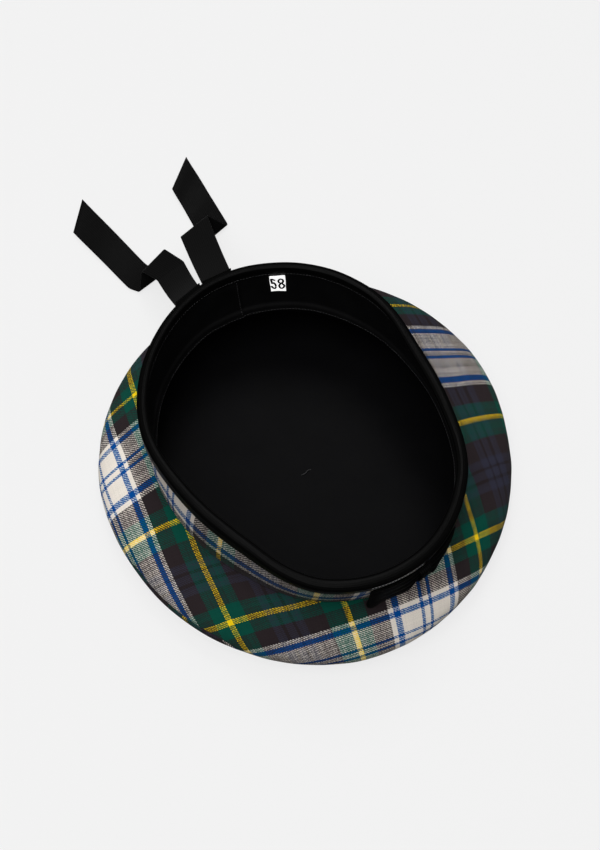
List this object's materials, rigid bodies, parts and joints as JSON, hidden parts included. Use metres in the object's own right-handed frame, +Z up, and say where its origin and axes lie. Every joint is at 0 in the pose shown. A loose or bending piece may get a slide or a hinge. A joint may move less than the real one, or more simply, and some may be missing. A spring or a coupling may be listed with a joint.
{
  "type": "balmoral bonnet",
  "caption": "Tartan balmoral bonnet lying on its wide soft crown, opening up: upright headband, black bound rim, flat ribbon bow at the front and folded ribbon tails at the back.",
  "frame": {"origin": "on the surface it rests on, under the middle of the crown", "axes": "+Z up out of the opening, -Y to the front with the bow, +Y to the back with the tails, +X to the right seen from the front"},
  "size_m": [0.2496, 0.3755, 0.0795],
  "materials": {
    "tartan_wool": "matt twill",
    "black_ribbon": "fine ribbed",
    "black_sweatband": "soft satin",
    "black_lining": "smooth woven",
    "white_label": "woven tape"
  },
  "bodies": {
    "root": {"crown_top": "tartan_wool", "crown_under": "tartan_wool", "headband": "tartan_wool", "rim_binding": "black_ribbon", "sweatband": "black_sweatband", "crown_lining": "black_lining", "bow_loops": "black_ribbon", "bow_knot": "black_ribbon", "tail_left": "black_ribbon", "tail_right": "black_ribbon", "size_label": "white_label"}
  },
  "joints": []
}
